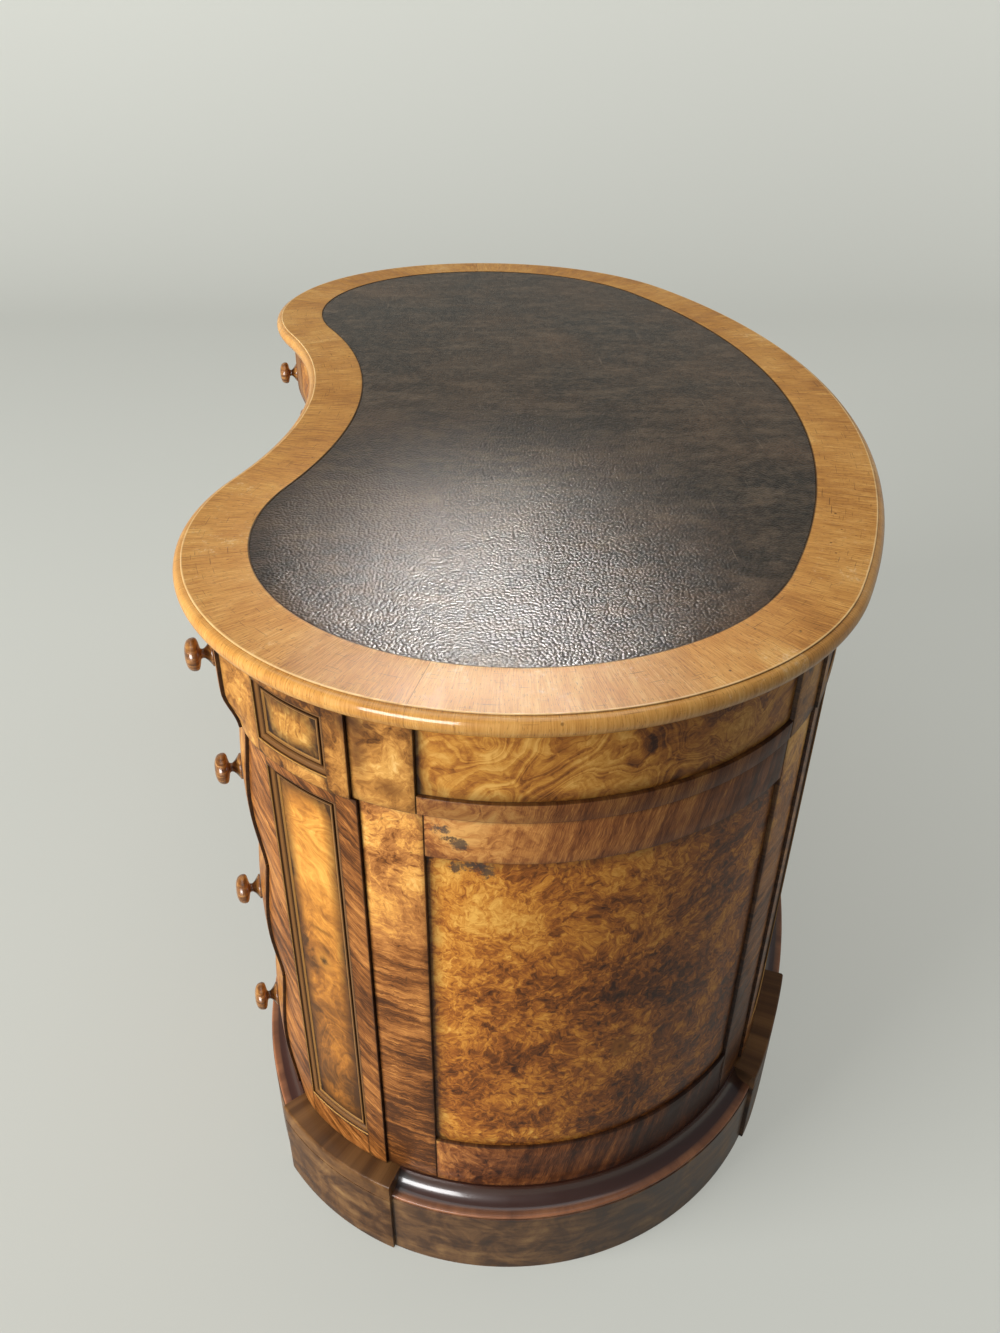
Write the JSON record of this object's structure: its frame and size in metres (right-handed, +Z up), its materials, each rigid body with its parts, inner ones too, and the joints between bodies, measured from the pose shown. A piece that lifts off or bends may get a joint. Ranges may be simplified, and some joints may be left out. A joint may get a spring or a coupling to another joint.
{
  "type": "kidney-shaped pedestal desk",
  "caption": "Kidney-shaped pedestal writing desk in burr walnut: leather-covered top, bow-fronted cushion drawers on straight slides, kneehole and moulded plinth.",
  "frame": {"origin": "on the floor, below the middle of the desk's bounding box", "axes": "+Z up, +X along the length of the desk, -Y towards the sitter at the hollow front"},
  "size_m": [1.3524, 0.7348, 0.74],
  "materials": {
    "walnut_veneer": "polished figured walnut veneer",
    "burr_walnut": "polished burr walnut veneer",
    "dark_walnut": "polished dark walnut moulding",
    "turned_walnut": "polished turned walnut",
    "drawer_oak": "plain oak, waxed",
    "carcase_pine": "bare pine",
    "writing_leather": "worn dark hide, fine grain"
  },
  "bodies": {
    "desk": {"back_wall_left": "walnut_veneer", "back_wall_right": "walnut_veneer", "cheek_left": "walnut_veneer", "cheek_right": "walnut_veneer", "drawer_frame_left": "carcase_pine", "drawer_frame_right": "carcase_pine", "end_frame_left": "walnut_veneer", "end_frame_right": "walnut_veneer", "end_wall_left": "burr_walnut", "end_wall_right": "burr_walnut", "frieze_back": "walnut_veneer", "frieze_divider_left": "walnut_veneer", "frieze_divider_right": "walnut_veneer", "frieze_end_left": "walnut_veneer", "frieze_end_right": "walnut_veneer", "frieze_floor": "carcase_pine", "front_pilaster_left": "walnut_veneer", "front_pilaster_right": "walnut_veneer", "kneehole_back": "walnut_veneer", "kneehole_plinth": "dark_walnut", "plinth_left": "dark_walnut", "plinth_right": "dark_walnut", "top_board": "walnut_veneer", "writing_leather": "writing_leather"},
    "drawer_right_lower": {"drawer_right_lower_box": "drawer_oak", "drawer_right_lower_front": "walnut_veneer", "drawer_right_lower_knob_inner": "turned_walnut", "drawer_right_lower_knob_outer": "turned_walnut"},
    "drawer_right_middle": {"drawer_right_middle_box": "drawer_oak", "drawer_right_middle_front": "walnut_veneer", "drawer_right_middle_knob_inner": "turned_walnut", "drawer_right_middle_knob_outer": "turned_walnut"},
    "drawer_right_upper": {"drawer_right_upper_box": "drawer_oak", "drawer_right_upper_front": "walnut_veneer", "drawer_right_upper_knob_inner": "turned_walnut", "drawer_right_upper_knob_outer": "turned_walnut"},
    "drawer_right_frieze": {"drawer_right_frieze_box": "drawer_oak", "drawer_right_frieze_front": "walnut_veneer", "drawer_right_frieze_knob_inner": "turned_walnut", "drawer_right_frieze_knob_outer": "turned_walnut"},
    "drawer_left_lower": {"drawer_left_lower_box": "drawer_oak", "drawer_left_lower_front": "walnut_veneer", "drawer_left_lower_knob_inner": "turned_walnut", "drawer_left_lower_knob_outer": "turned_walnut"},
    "drawer_left_middle": {"drawer_left_middle_box": "drawer_oak", "drawer_left_middle_front": "walnut_veneer", "drawer_left_middle_knob_inner": "turned_walnut", "drawer_left_middle_knob_outer": "turned_walnut"},
    "drawer_left_upper": {"drawer_left_upper_box": "drawer_oak", "drawer_left_upper_front": "walnut_veneer", "drawer_left_upper_knob_inner": "turned_walnut", "drawer_left_upper_knob_outer": "turned_walnut"},
    "drawer_left_frieze": {"drawer_left_frieze_box": "drawer_oak", "drawer_left_frieze_front": "walnut_veneer", "drawer_left_frieze_knob_inner": "turned_walnut", "drawer_left_frieze_knob_outer": "turned_walnut"},
    "drawer_centre_frieze": {"drawer_centre_frieze_box": "drawer_oak", "drawer_centre_frieze_front": "walnut_veneer", "drawer_centre_frieze_knob_inner": "turned_walnut", "drawer_centre_frieze_knob_outer": "turned_walnut"}
  },
  "joints": [
    {"name": "drawer_right_lower_slide", "type": "slide", "parent": "desk", "child": "drawer_right_lower", "axis": [0, -1, 0], "range_m": [0, 0.3]},
    {"name": "drawer_right_middle_slide", "type": "slide", "parent": "desk", "child": "drawer_right_middle", "axis": [0, -1, 0], "range_m": [0, 0.3]},
    {"name": "drawer_right_upper_slide", "type": "slide", "parent": "desk", "child": "drawer_right_upper", "axis": [0, -1, 0], "range_m": [0, 0.3]},
    {"name": "drawer_right_frieze_slide", "type": "slide", "parent": "desk", "child": "drawer_right_frieze", "axis": [0, -1, 0], "range_m": [0, 0.28]},
    {"name": "drawer_left_lower_slide", "type": "slide", "parent": "desk", "child": "drawer_left_lower", "axis": [0, -1, 0], "range_m": [0, 0.3]},
    {"name": "drawer_left_middle_slide", "type": "slide", "parent": "desk", "child": "drawer_left_middle", "axis": [0, -1, 0], "range_m": [0, 0.3]},
    {"name": "drawer_left_upper_slide", "type": "slide", "parent": "desk", "child": "drawer_left_upper", "axis": [0, -1, 0], "range_m": [0, 0.3]},
    {"name": "drawer_left_frieze_slide", "type": "slide", "parent": "desk", "child": "drawer_left_frieze", "axis": [0, -1, 0], "range_m": [0, 0.28]},
    {"name": "drawer_centre_frieze_slide", "type": "slide", "parent": "desk", "child": "drawer_centre_frieze", "axis": [0, -1, 0], "range_m": [0, 0.28]}
  ]
}
